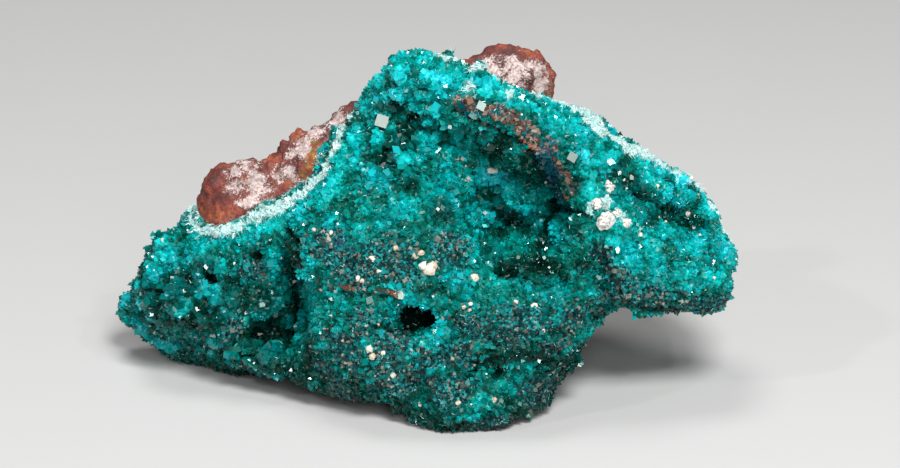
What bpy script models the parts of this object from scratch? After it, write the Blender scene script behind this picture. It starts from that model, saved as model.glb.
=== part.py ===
"""A dioptase specimen: a druse of green dioptase crystals grown over a lump of rusty matrix rock.

Blender works in metres here, with +Z up, +X to the specimen's right and -Y to its front. The origin is
the middle of the base of the specimen's bounding box, on the surface that it rests on.
"""

import math
import random

import bmesh
import bpy
from mathutils import Matrix, Vector
from mathutils.bvhtree import BVHTree

MM = 0.001  # every size below is in millimetres
GAP = 0.3  # between two solids that touch in nature
FOOT_BLOCK = ((-30, -30, -6), (30, 30, 0))  # cuts the feet flat at the resting surface

BALL_SPACING = 0.45  # of a ball's radius, between the balls of a chain
BALL_SUBDIVISIONS = 3
BODY_VOXEL = 0.6
HOLLOW_VOXEL = 0.4
SOFTENING = 5  # smoothing passes over a freshly fused body
SOFTENING_FACTOR = 0.5  # of the way to its neighbours, how far a pass moves a vertex

CRUST_TRIANGLES = 1800
MATRIX_TRIANGLES = 820
HOLLOW_TRIANGLES = 210
CAVE_TRIANGLES = 320

LINER_THICKNESS = 0.65  # of the crystal crust that lines a hollow
LINER_MIDDLE = GAP + 0.55 * LINER_THICKNESS  # deeper than this, a point is on the liner's inner side
MOUTH_MARGIN = 0.5  # of a crystal's radius, how far it stays inside the hollow's mouth

SEED = 11  # of the crystals
CRYSTAL_HEIGHTS = (0.5, 1.3)  # of its radius, how far a crystal's prism stands out
TIP_STEP = 0.617  # of a crystal's radius: the height between its rim's corners and up to its tip
MOST_LEAN = math.radians(24)  # of a crystal away from the surface's normal
ROOT = 0.75  # of its radius, the depth that a crystal is rooted at
LINER_ROOT = 0.45
TRIES_PER_CRYSTAL = 14
CROWDING = 0.95  # of the sum of two crystals' radii, the least distance between them
LOWEST_CRYSTAL = 2.2

# Each form is a chain of balls: where it starts, where it ends, its radius at both ends, and how far it is
# squashed along X, Y and Z.
CRUST_FORMS = {
    "core": ((-10, 3.5, 7.5), (9, 3.5, 7.5), 6.0, 6.0, (1, 1, 1)),
    "lower bulge": ((-2.5, -4.6, 6.4), (6.5, -4.6, 6.8), 7.0, 6.8, (1, 1, 0.92)),
    "front foot": ((1.8, -10.2, 1.9), (4.8, -10.0, 1.8), 3.1, 3.0, (1, 0.9, 0.85)),
    "front foot left": ((-1.2, -9.6, 1.3), (1.8, -10.2, 1.9), 1.8, 2.8, (1, 0.9, 0.9)),
    "low right bump": ((7.4, -8.2, 3.0), (8.1, -7.8, 3.2), 3.0, 2.7, (1, 1, 1)),
    "right flank": ((11.0, -5.2, 8.4), (12.6, -4.4, 7.8), 2.6, 2.5, (1, 1, 1)),
    "upper bulge": ((-6.8, -4.6, 12.6), (0.2, -6.2, 13.4), 4.0, 4.2, (1, 1, 0.88)),
    "shoulder": ((-6.4, -2.8, 14.6), (-0.4, -4.0, 15.4), 3.6, 3.4, (1, 1, 1)),
    "bowl lip": ((2, -7.2, 9.9), (10.8, -5.2, 9.4), 3.5, 3.5, (1, 1, 0.9)),
    "left wall": ((-3.2, 0.4, 16), (-0.8, 0.8, 24.8), 5.2, 2.7, (1, 1, 1)),
    "left wall low": ((-3.4, -2.6, 15), (-2.4, -1.0, 20), 4.4, 3.0, (1, 1, 1)),
    "inner slope": ((-0.5, 0.0, 15), (1.5, 1.4, 20), 4.4, 3.0, (1, 1, 1)),
    "ridge top": ((-1.0, 0.2, 25.2), (4, -1.2, 24.2), 2.4, 2.4, (1, 1.4, 1)),
    "ridge middle": ((4, -1.2, 24.2), (12.2, -1.6, 20.0), 2.4, 3.0, (1, 1.5, 1)),
    "ridge right": ((12.2, -1.6, 19.6), (20.0, 0.5, 15.0), 2.7, 2.2, (1, 1.5, 1)),
    "ridge end": ((20.0, 0.5, 15.0), (22.5, 0.0, 10.4), 2.3, 2.3, (1, 1.5, 1)),
    "behind the ridge": ((0.5, 3.4, 21.6), (13.0, 3.0, 16.4), 3.2, 4.2, (1, 1, 1)),
    "back wall": ((2, 4.2, 17.6), (12, 4.0, 13), 4.0, 4.2, (1, 1, 1)),
    "bowl right wall": ((12.8, -2.2, 17.5), (13.4, -2.8, 12), 2.6, 3.4, (1, 1.3, 1)),
    "lobe": ((15.8, 1.2, 13.0), (20.2, 1.8, 11.0), 5.2, 4.4, (1, 1.3, 1)),
    "lobe belly": ((15.4, -3.4, 10.7), (22.0, -2.6, 9.3), 3.3, 2.9, (1, 1.4, 1)),
    "lobe front": ((14.4, -4.6, 15.2), (15.2, -4.6, 12.4), 2.1, 2.3, (1, 1.2, 1)),
    "left lobe": ((-19.2, 2.6, 6.6), (-14.5, 0.8, 7.0), 4.4, 4.6, (1, 1, 1)),
    "left lobe top": ((-19.2, 2.8, 8.6), (-15.6, 1, 9.4), 3.4, 3.2, (1, 1, 1)),
    "left shoulder": ((-21.1, 3.4, 9.0), (-19.6, 3.2, 8.6), 2.1, 2.5, (1, 1, 1)),
    "left tip": ((-24.0, 5.8, 3.9), (-20, 4, 3.8), 1.7, 3.4, (1, 1, 1)),
    "left foot": ((-20.6, 5.6, 1.8), (-15, 1.5, 1.8), 2.5, 2.6, (1, 1, 1)),
    "behind the crevice": ((-14, 2.6, 4.4), (-7, 1.4, 5.0), 3.0, 3.6, (1, 1, 1)),
    "mid left": ((-15.8, 2.4, 9.6), (-9, -0.6, 12.0), 3.4, 4.0, (1, 1, 1)),
    "rim left": ((-18.6, 3.2, 12.2), (-17.0, 0.8, 10.6), 1.3, 1.8, (1, 1, 1)),
    "rim behind": ((-18.6, 3.2, 12.2), (-16.6, 6.0, 12.0), 1.3, 1.7, (1, 1, 1)),
    "rim slope": ((-15.2, 0.0, 11.0), (-7.4, -0.4, 16.4), 1.7, 1.7, (1, 1, 1)),
    "rim top": ((-6.6, 0.6, 17.8), (-3.0, 1.0, 23.4), 1.8, 2.1, (1, 1, 1)),
    "bottom lip": ((-13.4, -2.2, 2.8), (-6.5, -5.6, 2.4), 2.1, 2.3, (1, 1, 0.8)),
    "bottom lip front": ((-6.5, -5.6, 2.4), (-1.5, -8.7, 2.6), 2.2, 2.4, (1, 1, 0.8)),
    "right foot": ((9.5, 5.2, 3.2), (10.6, 5.4, 2.4), 3.8, 3.4, (1, 1, 1)),
}

CENTRE_HOLLOW_FORMS = {
    "mouth": ((6.5, -5.4, 17.3), (9.7, -4.6, 14.8), 3.6, 4.2, (1, 1.5, 0.97)),
    "roof": ((4.8, -2.4, 19.6), (8.8, -2.4, 17.6), 2.0, 2.6, (1, 1.3, 1)),
    "floor": ((6.4, -4.2, 13.5), (10.2, -3.4, 12.7), 2.3, 2.6, (1, 1.4, 1)),
}

LOBE_HOLLOW_FORMS = {
    "long": ((16.6, -3.6, 17.0), (21.6, -2.4, 13.6), 1.9, 2.1, (1, 1.7, 1)),
    "middle": ((18.2, -3.2, 15.7), (20.2, -2.8, 14.5), 2.4, 2.4, (1, 1.5, 1)),
}

CAVE_FORMS = {
    "little cave": ((-1.4, -12.6, 9.2), (0.2, -8.0, 8.9), 1.9, 1.4, (1.15, 1, 0.95)),
    "ledge groove": ((-7.6, -9.4, 10.4), (0.5, -12.2, 10.6), 0.9, 1.1, (1, 1.1, 0.75)),
    "crevice top": ((-11.6, -4.4, 13.2), (-10.8, -3.8, 11.0), 0.6, 0.9, (0.9, 2.2, 1)),
    "crevice middle": ((-10.8, -3.8, 11.0), (-9.7, -3.2, 7.0), 0.9, 1.0, (0.85, 2.4, 1)),
    "crevice foot": ((-9.7, -3.2, 7.0), (-11.4, -2.8, 5.6), 1.0, 1.1, (1, 2.2, 1)),
    "left pit": ((-12.8, -4.4, 5.2), (-12.2, -1.2, 5.6), 1.6, 1.3, (1, 1, 1)),
    "upper left pocket": ((-13.4, -3.4, 11.6), (-13.2, -1.4, 11.7), 1.0, 0.7, (1.2, 1, 0.8)),
    "left pocket": ((-17.2, -2.8, 9.5), (-17.2, -1.0, 9.6), 0.9, 0.7, (0.9, 1, 1.1)),
    "lobe crevice": ((12.9, -8.0, 14.6), (15.0, -6.0, 6.6), 0.6, 1.0, (0.7, 1.6, 1)),
}

MATRIX_FORMS = {
    "left lump": ((-15.5, 3.0, 13.5), (-14.6, 3.0, 14.4), 3.0, 3.1, (1, 1, 1)),
    "slope": ((-13.0, 2.9, 14.2), (-8.8, 2.9, 17.3), 3.0, 2.8, (1, 1, 1)),
    "slope top": ((-8.8, 3.4, 17.8), (-5.4, 4.4, 19.6), 2.5, 2.1, (1, 1, 1)),
    "behind the top": ((-4.4, 6.6, 18.4), (4, 7.0, 21.2), 2.8, 3.4, (1, 1, 1)),
    "top knob": ((6.5, 6.6, 22.9), (7.2, 6.8, 22.8), 3.2, 3.1, (1, 1, 1)),
    "behind the ridge": ((9, 6.7, 18.2), (16.2, 5.9, 14.2), 3.2, 3.0, (1, 1, 1)),
    "back low": ((-13, 6.6, 7.2), (9, 7.2, 6.8), 4.4, 4.8, (1, 1, 1)),
    "back middle": ((-10, 7.2, 12.2), (11, 8.2, 12.6), 4.8, 4.8, (1, 1, 1)),
    "back high": ((-3, 8.0, 16.0), (9, 8.4, 16.4), 4.4, 4.2, (1, 1, 1)),
    "back boss": ((-3, 9.6, 10.6), (1, 9.8, 11.4), 3.4, 3.0, (1, 1, 1)),
}

# Relief: the size of its lumps and how high they stand.
CRUST_RELIEF = (("CLOUDS", 5.5, 2.0), ("CLOUDS", 2.1, 1.1))
MATRIX_RELIEF = (("CLOUDS", 6.0, 2.2), ("VORONOI", 2.6, -1.3))
HOLLOW_RELIEF = (("CLOUDS", 3.0, 1.0),)


# Where a druse is coarser: the middle of the zone, its half sizes, and the smallest and largest radius of
# its crystals.
COARSE_ZONES = {
    "left wall": ((-0.5, -3.0, 20.0), (5.5, 7.0, 6.5), 0.65, 0.95),
    "left lobe": ((-18.0, 0.0, 7.5), (6.0, 7.0, 5.5), 0.5, 0.75),
    "lobe": ((18.0, -4.0, 10.0), (6.0, 6.0, 5.0), 0.5, 0.75),
    "bowl lip": ((7.0, -9.0, 10.0), (6.5, 4.0, 3.0), 0.5, 0.75),
}
FINE_RADII = (0.4, 0.6)
CRUST_CRYSTALS = 94
CENTRE_HOLLOW_CRYSTALS = 20
LOBE_HOLLOW_CRYSTALS = 9
HOLLOW_RADII = (0.5, 0.8)

# White rosettes on the front of the right lobe: the middle of each and its radius.
ROSETTES = {
    "high": ((14.5, -6.6, 17.1), 0.75),
    "left": ((13.7, -6.6, 15.7), 0.65),
    "middle": ((14.5, -6.6, 14.7), 0.95),
    "right": ((15.5, -6.7, 14.5), 0.8),
}
ROSETTE_SUBDIVISIONS = 1

MATERIALS = {
    "dioptase_crust": ((0.012, 0.30, 0.30), 0.25),
    "matrix": ((0.22, 0.06, 0.035), 0.85),
    "centre_hollow_crystals": ((0.004, 0.13, 0.10), 0.2),
    "lobe_hollow_crystals": ((0.004, 0.13, 0.10), 0.2),
}


def new_collection(name):
    collection = bpy.data.collections.new(name)
    bpy.context.scene.collection.children.link(collection)
    return collection


def clear_scene():
    for obj in list(bpy.data.objects):
        bpy.data.objects.remove(obj)
    for collection in list(bpy.data.collections):
        bpy.data.collections.remove(collection)


def new_object(name, bm, collection):
    mesh = bpy.data.meshes.new(name)
    bm.to_mesh(mesh)
    bm.free()
    obj = bpy.data.objects.new(name, mesh)
    collection.objects.link(obj)
    return obj


def copy_of(obj, name, collection):
    copy = obj.copy()
    copy.name = name
    copy.data = obj.data.copy()
    collection.objects.link(copy)
    return copy


def apply_modifiers(obj):
    """Turns the object's evaluated shape into its own mesh."""
    graph = bpy.context.evaluated_depsgraph_get()
    mesh = bpy.data.meshes.new_from_object(obj.evaluated_get(graph))
    obj.modifiers.clear()
    obj.data = mesh


def boolean(obj, other, operation):
    modifier = obj.modifiers.new(operation.lower(), "BOOLEAN")
    modifier.operation = operation
    modifier.object = other
    modifier.use_self = operation == "UNION"
    apply_modifiers(obj)


def inflate(obj, distance):
    """Moves the object's surface out along its normals, or in where the distance is negative."""
    displace = obj.modifiers.new("inflate", "DISPLACE")
    displace.strength = distance * MM
    displace.mid_level = 0
    apply_modifiers(obj)


def triangle_count(mesh):
    return sum(len(polygon.vertices) - 2 for polygon in mesh.polygons)


def add_chain(bm, start, end, radius_start, radius_end, squash):
    """Adds a row of overlapping balls from start to end."""
    start, end = Vector(start), Vector(end)
    count = 1 + math.ceil((end - start).length / (BALL_SPACING * max(radius_start, radius_end)))
    for number in range(count + 1):
        share = number / count
        radius = radius_start + (radius_end - radius_start) * share
        place = Matrix.Translation(start.lerp(end, share) * MM)
        size = Matrix.Diagonal((*(Vector(squash) * radius * MM), 1))
        bmesh.ops.create_icosphere(
            bm, subdivisions=BALL_SUBDIVISIONS, radius=1, matrix=place @ size
        )


def add_remesh(obj, voxel):
    remesh = obj.modifiers.new("remesh", "REMESH")
    remesh.mode = "VOXEL"
    remesh.voxel_size = voxel * MM
    remesh.use_smooth_shade = False


def add_relief(obj, relief):
    for number, (kind, size, height) in enumerate(relief):
        texture = bpy.data.textures.new(f"{obj.name}_relief_{number}", kind)
        texture.noise_scale = size * MM
        displace = obj.modifiers.new("relief", "DISPLACE")
        displace.texture = texture
        displace.texture_coords = "LOCAL"
        displace.strength = height * MM
        displace.mid_level = 0.5


def lump(name, forms, relief, voxel, collection):
    """One closed body from chains of balls, with relief on its surface."""
    bm = bmesh.new()
    for form in forms.values():
        add_chain(bm, *form)
    obj = new_object(name, bm, collection)
    add_remesh(obj, voxel)
    soften = obj.modifiers.new("soften", "SMOOTH")
    soften.factor = SOFTENING_FACTOR
    soften.iterations = SOFTENING
    add_relief(obj, relief)
    add_remesh(obj, voxel)
    apply_modifiers(obj)
    return obj


def simplified(obj, triangles):
    """Gives the object about this many triangles."""
    simplify = obj.modifiers.new("simplify", "DECIMATE")
    simplify.ratio = triangles / triangle_count(obj.data)
    apply_modifiers(obj)
    return obj


def add_crystal(bm, base, axis, turn, radius, height):
    """Adds a stubby six-sided prism that ends in three diamond faces, standing on its base along the axis."""
    made = bmesh.ops.create_cone(
        bm,
        cap_ends=True,
        segments=6,
        radius1=radius * MM,
        radius2=radius * MM,
        depth=height * MM,
    )
    prism = made["verts"]
    rim = {vertex for vertex in prism if vertex.co.z > 0}
    top = next(face for face in next(iter(rim)).link_faces if rim.issuperset(face.verts))
    step = TIP_STEP * radius * MM
    for vertex in list(top.verts)[1::2]:
        vertex.co.z -= step
    tip = bmesh.ops.poke(bm, faces=[top])["verts"][0]
    tip.co.z = height / 2 * MM + step
    lift = Matrix.Translation((0, 0, height / 2 * MM))
    stand = axis.to_track_quat("Z", "Y").to_matrix().to_4x4() @ Matrix.Rotation(turn, 4, "Z")
    bmesh.ops.transform(bm, matrix=Matrix.Translation(base * MM) @ stand @ lift, verts=[*prism, tip])


def surface_samples(obj, count, chooser):
    """Seeded places spread evenly over the object's surface, each a point and its normal."""
    corners = [vertex.co / MM for vertex in obj.data.vertices]
    triangles = []
    for polygon in obj.data.polygons:
        first = polygon.vertices[0]
        for second, third in zip(polygon.vertices[1:], polygon.vertices[2:]):
            triangles.append((corners[first], corners[second], corners[third]))
    areas = [(b - a).cross(c - a).length for a, b, c in triangles]
    for a, b, c in chooser.choices(triangles, areas, k=count):
        across, along = chooser.random(), chooser.random()
        if across + along > 1:
            across, along = 1 - across, 1 - along
        yield a + (b - a) * across + (c - a) * along, (b - a).cross(c - a).normalized()


def surface_tree(obj):
    bm = bmesh.new()
    bm.from_mesh(obj.data)
    tree = BVHTree.FromBMesh(bm)
    bm.free()
    return tree


def height_over(tree, point):
    """How far the point is outside the tree's surface, less than 0 inside it."""
    nearest, normal, _, distance = tree.find_nearest(point * MM)
    outside = (point * MM - nearest).dot(normal) > 0
    return (distance if outside else -distance) / MM


def druse_radii(point):
    for centre, half_size, smallest, largest in COARSE_ZONES.values():
        away = [(point[i] - centre[i]) / half_size[i] for i in range(3)]
        if Vector(away).length < 1:
            return smallest, largest
    return FINE_RADII


def grow_crystals(obj, count, root, radii_at, fits, chooser):
    """Joins seeded crystals to the object, rooted in its surface wherever the point and the tip fit."""
    bm = bmesh.new()
    grown = []
    for point, normal in surface_samples(obj, count * TRIES_PER_CRYSTAL, chooser):
        radius = chooser.uniform(*radii_at(point))
        lean = Vector([chooser.uniform(-1, 1) for _ in range(3)]) * math.tan(MOST_LEAN)
        axis = (normal + lean).normalized()
        depth = root * radius
        height = depth + radius * chooser.uniform(*CRYSTAL_HEIGHTS)
        turn = chooser.uniform(0, math.pi)
        tip = point + axis * (height - depth + TIP_STEP * radius)
        crowded = any((point - other).length < CROWDING * (radius + reach) for other, reach in grown)
        if crowded or not fits(point, tip, radius):
            continue
        add_crystal(bm, point - axis * depth, axis, turn, radius, height)
        grown.append((point, radius))
        if len(grown) == count:
            break
    crystals = new_object(obj.name + "_grown", bm, obj.users_collection[0])
    boolean(obj, crystals, "UNION")
    bpy.data.objects.remove(crystals)


def add_rosettes(crust):
    bm = bmesh.new()
    for place, radius in ROSETTES.values():
        bmesh.ops.create_icosphere(
            bm,
            subdivisions=ROSETTE_SUBDIVISIONS,
            radius=radius * MM,
            matrix=Matrix.Translation(Vector(place) * MM),
        )
    rosettes = new_object("rosettes", bm, crust.users_collection[0])
    boolean(crust, rosettes, "UNION")
    bpy.data.objects.remove(rosettes)


def keep_largest_body(obj):
    """Drops the loose chips that a cut leaves."""
    bm = bmesh.new()
    bm.from_mesh(obj.data)
    bodies = []
    left = set(bm.verts)
    while left:
        body = {left.pop()}
        edge_of_body = list(body)
        while edge_of_body:
            vertex = edge_of_body.pop()
            for edge in vertex.link_edges:
                other = edge.other_vert(vertex)
                if other not in body:
                    body.add(other)
                    edge_of_body.append(other)
        left -= body
        bodies.append(body)
    bodies.sort(key=len)
    chips = [vertex for body in bodies[:-1] for vertex in body]
    bmesh.ops.delete(bm, geom=chips, context="VERTS")
    bm.to_mesh(obj.data)
    bm.free()


def foot_block(collection):
    low, high = (Vector(corner) * MM for corner in FOOT_BLOCK)
    size = Matrix.Diagonal((*(high - low), 1))
    bm = bmesh.new()
    bmesh.ops.create_cube(bm, size=1, matrix=Matrix.Translation((low + high) / 2) @ size)
    return new_object("foot_block", bm, collection)


def liner(name, hollow, envelope, count, chooser, parts, cutters):
    """The crust of crystals that lines a hollow, open where the hollow is."""
    inside = copy_of(hollow, name + "_inside", cutters)
    inflate(inside, -GAP - LINER_THICKNESS)
    add_remesh(inside, HOLLOW_VOXEL)
    apply_modifiers(inside)
    simplified(inside, HOLLOW_TRIANGLES)
    simplified(hollow, HOLLOW_TRIANGLES)
    obj = copy_of(hollow, name, parts)
    inflate(obj, -GAP)
    boolean(obj, inside, "DIFFERENCE")
    boolean(obj, envelope, "INTERSECT")
    keep_largest_body(obj)
    wall = surface_tree(hollow)
    outer = surface_tree(envelope)

    def fits(point, tip, radius):
        on_inner_side = height_over(wall, point) < -LINER_MIDDLE
        off_the_mouth = height_over(outer, point) < -MOUTH_MARGIN * radius
        return on_inner_side and off_the_mouth and height_over(wall, tip) < -GAP - radius

    grow_crystals(obj, count, LINER_ROOT, lambda point: HOLLOW_RADII, fits, chooser)
    return obj


def finish_material(obj):
    colour, roughness = MATERIALS[obj.name]
    material = bpy.data.materials.new(obj.name)
    material.use_nodes = True
    shader = material.node_tree.nodes["Principled BSDF"]
    shader.inputs["Base Color"].default_value = (*colour, 1)
    shader.inputs["Roughness"].default_value = roughness
    shader.inputs["Metallic"].default_value = 0
    obj.data.materials.clear()
    obj.data.materials.append(material)


def centre_on_base(objects):
    """Moves the meshes so that the middle of their bounding box's base is the origin."""
    points = [vertex.co for obj in objects for vertex in obj.data.vertices]
    lowest = [min(point[axis] for point in points) for axis in range(3)]
    highest = [max(point[axis] for point in points) for axis in range(3)]
    shift = Vector((-(lowest[0] + highest[0]) / 2, -(lowest[1] + highest[1]) / 2, -lowest[2]))
    for obj in objects:
        obj.data.transform(Matrix.Translation(shift))


def main():
    clear_scene()
    parts = new_collection("dioptase_specimen")
    cutters = new_collection("cutters")
    chooser = random.Random(SEED)

    crust = lump("dioptase_crust", CRUST_FORMS, CRUST_RELIEF, BODY_VOXEL, parts)
    matrix = lump("matrix", MATRIX_FORMS, MATRIX_RELIEF, BODY_VOXEL, parts)
    centre_hollow = lump("centre_hollow", CENTRE_HOLLOW_FORMS, HOLLOW_RELIEF, HOLLOW_VOXEL, cutters)
    lobe_hollow = lump("lobe_hollow", LOBE_HOLLOW_FORMS, HOLLOW_RELIEF, HOLLOW_VOXEL, cutters)
    caves = lump("caves", CAVE_FORMS, HOLLOW_RELIEF, HOLLOW_VOXEL, cutters)
    simplified(crust, CRUST_TRIANGLES)
    simplified(matrix, MATRIX_TRIANGLES)
    simplified(caves, CAVE_TRIANGLES)
    envelope = copy_of(crust, "crust_envelope", cutters)
    liners = [
        liner(name, hollow, envelope, count, chooser, parts, cutters)
        for name, hollow, count in (
            ("centre_hollow_crystals", centre_hollow, CENTRE_HOLLOW_CRYSTALS),
            ("lobe_hollow_crystals", lobe_hollow, LOBE_HOLLOW_CRYSTALS),
        )
    ]
    rock = surface_tree(matrix)

    def fits(point, tip, radius):
        over_the_floor = point.z > LOWEST_CRYSTAL and tip.z > LOWEST_CRYSTAL
        return over_the_floor and min(height_over(rock, point), height_over(rock, tip)) > radius + GAP

    grow_crystals(crust, CRUST_CRYSTALS, ROOT, druse_radii, fits, chooser)
    add_rosettes(crust)
    bed = copy_of(matrix, "matrix_bed", cutters)
    inflate(bed, GAP)
    block = foot_block(cutters)
    for cutter in (centre_hollow, lobe_hollow, caves, bed, block):
        boolean(crust, cutter, "DIFFERENCE")
    keep_largest_body(crust)

    solids = [crust, matrix, *liners]
    centre_on_base(solids)
    for obj in solids:
        finish_material(obj)
    for obj in cutters.objects:
        obj.hide_render = True
        obj.display_type = "WIRE"


main()
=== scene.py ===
"""The looks of the dioptase specimen: its druse, its rock, the light, the floor and the camera."""

import math

import bmesh
import bpy
import numpy as np
from mathutils import Matrix, Vector, noise
from mathutils.bvhtree import BVHTree


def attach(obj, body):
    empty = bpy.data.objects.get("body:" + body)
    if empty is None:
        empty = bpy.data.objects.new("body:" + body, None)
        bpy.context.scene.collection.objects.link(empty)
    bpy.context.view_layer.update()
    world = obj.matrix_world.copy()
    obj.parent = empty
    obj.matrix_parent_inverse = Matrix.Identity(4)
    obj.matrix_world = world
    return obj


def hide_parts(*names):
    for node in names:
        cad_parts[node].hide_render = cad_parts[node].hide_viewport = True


MM = 0.001  # sizes and places below are in millimetres, in the row frame

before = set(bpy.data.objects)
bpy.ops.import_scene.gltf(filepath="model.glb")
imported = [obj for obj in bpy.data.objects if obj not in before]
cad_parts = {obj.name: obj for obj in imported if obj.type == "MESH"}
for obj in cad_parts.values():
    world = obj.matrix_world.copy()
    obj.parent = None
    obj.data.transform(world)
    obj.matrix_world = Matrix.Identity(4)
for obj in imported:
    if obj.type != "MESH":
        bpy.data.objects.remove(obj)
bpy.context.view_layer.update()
BODY = "root"
FULL_TURN = 2 * math.pi
DRUSE_NODES = ("dioptase_crust", "centre_hollow_crystals", "lobe_hollow_crystals")

# ------------ camera

PHOTO_WIDTH = 900
PHOTO_HEIGHT = 468
CAMERA_TARGET = Vector((1.94, -0.33, 12.3))
CAMERA_DISTANCE = 300.0
CAMERA_ELEVATION = math.radians(20)
CAMERA_LENS = 150.0
SENSOR_WIDTH = 36.0
CLIP_START = 10.0

BACKWARD = Vector((0, -math.cos(CAMERA_ELEVATION), math.sin(CAMERA_ELEVATION)))
UPWARD = Vector((0, math.sin(CAMERA_ELEVATION), math.cos(CAMERA_ELEVATION)))
CAMERA_PLACE = CAMERA_TARGET + BACKWARD * CAMERA_DISTANCE
OUTLINE_SEARCH = range(0, 14, 2)  # pixels that a spot may move down when its ray misses the specimen
PIXEL = SENSOR_WIDTH / CAMERA_LENS * CAMERA_DISTANCE / PHOTO_WIDTH  # its size at the target


def make_camera():
    data = bpy.data.cameras.new("camera")
    data.lens = CAMERA_LENS
    data.sensor_width = SENSOR_WIDTH
    data.clip_start = CLIP_START * MM
    camera = linked("camera", data)
    camera.location = CAMERA_PLACE * MM
    camera.rotation_euler = (math.pi / 2 - CAMERA_ELEVATION, 0, 0)
    bpy.context.scene.camera = camera


# ------------ meshes from arrays


def linked(name, data):
    """A new object in the scene, which shows a mesh, a camera or a light."""
    obj = bpy.data.objects.new(name, data)
    bpy.context.scene.collection.objects.link(obj)
    return obj


def mesh_from(name, bm):
    """A mesh made from a bmesh, which is freed."""
    mesh = bpy.data.meshes.new(name)
    bm.to_mesh(mesh)
    bm.free()
    return mesh


def new_mesh_object(name, points, faces, attributes):
    """A flat-shaded mesh made from an array of points and an array of equal faces."""
    mesh = bpy.data.meshes.new(name)
    count, corners = faces.shape
    mesh.vertices.add(len(points))
    mesh.vertices.foreach_set("co", (points * MM).astype(np.float32).ravel())
    mesh.loops.add(faces.size)
    mesh.loops.foreach_set("vertex_index", faces.astype(np.int32).ravel())
    mesh.polygons.add(count)
    mesh.polygons.foreach_set("loop_start", (np.arange(count) * corners).astype(np.int32))
    mesh.polygons.foreach_set("use_smooth", np.full(count, False))
    mesh.update(calc_edges=True)
    for key, values in attributes.items():
        set_attribute(mesh, key, values)
    mesh.validate()
    return linked(name, mesh)


def set_attribute(mesh, key, values):
    attribute = mesh.attributes.new(key, "FLOAT", "POINT")
    attribute.data.foreach_set("value", np.asarray(values, np.float32))


def threes(rows, key, kind=np.float32):
    """An array of the three numbers that each row of a mesh's table has."""
    values = np.empty(len(rows) * 3, kind)
    rows.foreach_get(key, values)
    return values.reshape(-1, 3)


def tree_of(*objects):
    bm = bmesh.new()
    for obj in objects:
        bm.from_mesh(obj.data)
    tree = BVHTree.FromBMesh(bm)
    bm.free()
    return tree


# ------------ fields


FRACTAL = (1.0, 2.0, 2)  # the noise's roughness, the ratio between its octaves, and how many it has


def cloud(points, size, seed):
    """Smooth noise about 0, within about 1 either way, over an array of points."""
    offset = Vector((seed * 13.7, seed * 7.3, seed * 3.1))
    return np.array([noise.fractal(Vector(point) / size + offset, *FRACTAL) for point in points])


CREASE_SLOPE = 2.2
HEAP_ROUNDING = 0.7


def heaps(points, size, seed):
    """Round heaps over an array of points: 1 on top of each, and 0 in the creases between them."""
    offset = Vector((seed * 5.1, seed * 2.3, seed * 8.9))
    near = np.array([noise.voronoi(Vector(point) / size + offset)[0][:2] for point in points])
    from_crease = np.clip((near[:, 1] - near[:, 0]) * CREASE_SLOPE, 0, 1)
    return from_crease * np.clip(1 - HEAP_ROUNDING * near[:, 0] ** 2, 0, 1)


def smooth_step(low, high, values):
    share = np.clip((values - low) / (high - low), 0, 1)
    return share * share * (3 - 2 * share)


def inside(points, zones, edge):
    """1 in the middle of any of the zones, falling to 0 from a share of its half sizes to the whole."""
    found = np.zeros(len(points))
    for centre, half_size in zones:
        away = np.linalg.norm((points - centre) / half_size, axis=1)
        found = np.maximum(found, 1 - smooth_step(edge, 1.0, away))
    return found


def hit(tree, across, down):
    """Where the ray through a pixel of the photograph meets the specimen, and the normal there."""
    on_target = CAMERA_TARGET + Vector((1, 0, 0)) * (across - PHOTO_WIDTH / 2) * PIXEL
    on_target -= UPWARD * (down - PHOTO_HEIGHT / 2) * PIXEL
    direction = (on_target - CAMERA_PLACE).normalized()
    place, normal, _, _ = tree.ray_cast(CAMERA_PLACE * MM, direction)
    return (None, None) if place is None else (np.array(place) / MM, np.array(normal))


PATH_STEP = 7.0  # pixels


def along(half_width, half_height, *bends):
    """Spots along a path through some pixels, each with the same half sizes."""
    spots = []
    for (left, top), (right, bottom) in zip(bends, bends[1:]):
        count = max(1, round(math.hypot(right - left, bottom - top) / PATH_STEP))
        for share in np.linspace(0, 1, count, endpoint=False):
            across, down = left + (right - left) * share, top + (bottom - top) * share
            spots.append((across, down, half_width, half_height))
    return spots + [(*bends[-1], half_width, half_height)]


def zones_at(tree, spots, depth):
    """Ellipsoids round the places at some pixels. A spot is a pixel and two half sizes."""
    zones = []
    for across, down, half_width, half_height in spots:
        for lower in OUTLINE_SEARCH:
            place, _ = hit(tree, across, down + lower)
            if place is not None:
                zones.append((place, np.array((half_width, depth, half_height))))
                break
    return zones


# Where each look is. A spot is a pixel of the photograph, then a half width and a half height.
DUSTY_SPOTS = [
    (330, 245, 3.2, 1.8), (388, 262, 4.4, 2.6), (450, 250, 2.4, 2.0), (350, 270, 3.4, 1.8),
    (345, 350, 2.6, 2.6), (395, 378, 3.6, 2.6), (340, 392, 2.4, 1.6), (450, 390, 2.6, 2.0),
    (430, 360, 1.8, 1.0), (520, 325, 4.0, 2.2), (575, 318, 2.6, 2.0), (602, 296, 1.4, 1.4),
    (650, 297, 4.4, 1.6), (700, 304, 4.0, 1.4), (622, 288, 2.2, 1.6), (540, 392, 2.4, 2.4),
    (500, 425, 2.6, 1.2), (250, 270, 1.6, 1.2), (300, 395, 2.0, 1.0), (480, 325, 2.2, 1.4),
    (235, 330, 1.6, 1.2), (360, 320, 1.6, 1.4), (460, 355, 2.6, 1.6), (560, 345, 2.0, 1.0),
    (395, 345, 2.6, 1.6), (330, 375, 2.4, 1.6), (500, 336, 3.4, 1.0),
    *along(1.3, 1.1, (601, 252), (608, 264), (626, 285)),
]
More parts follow.
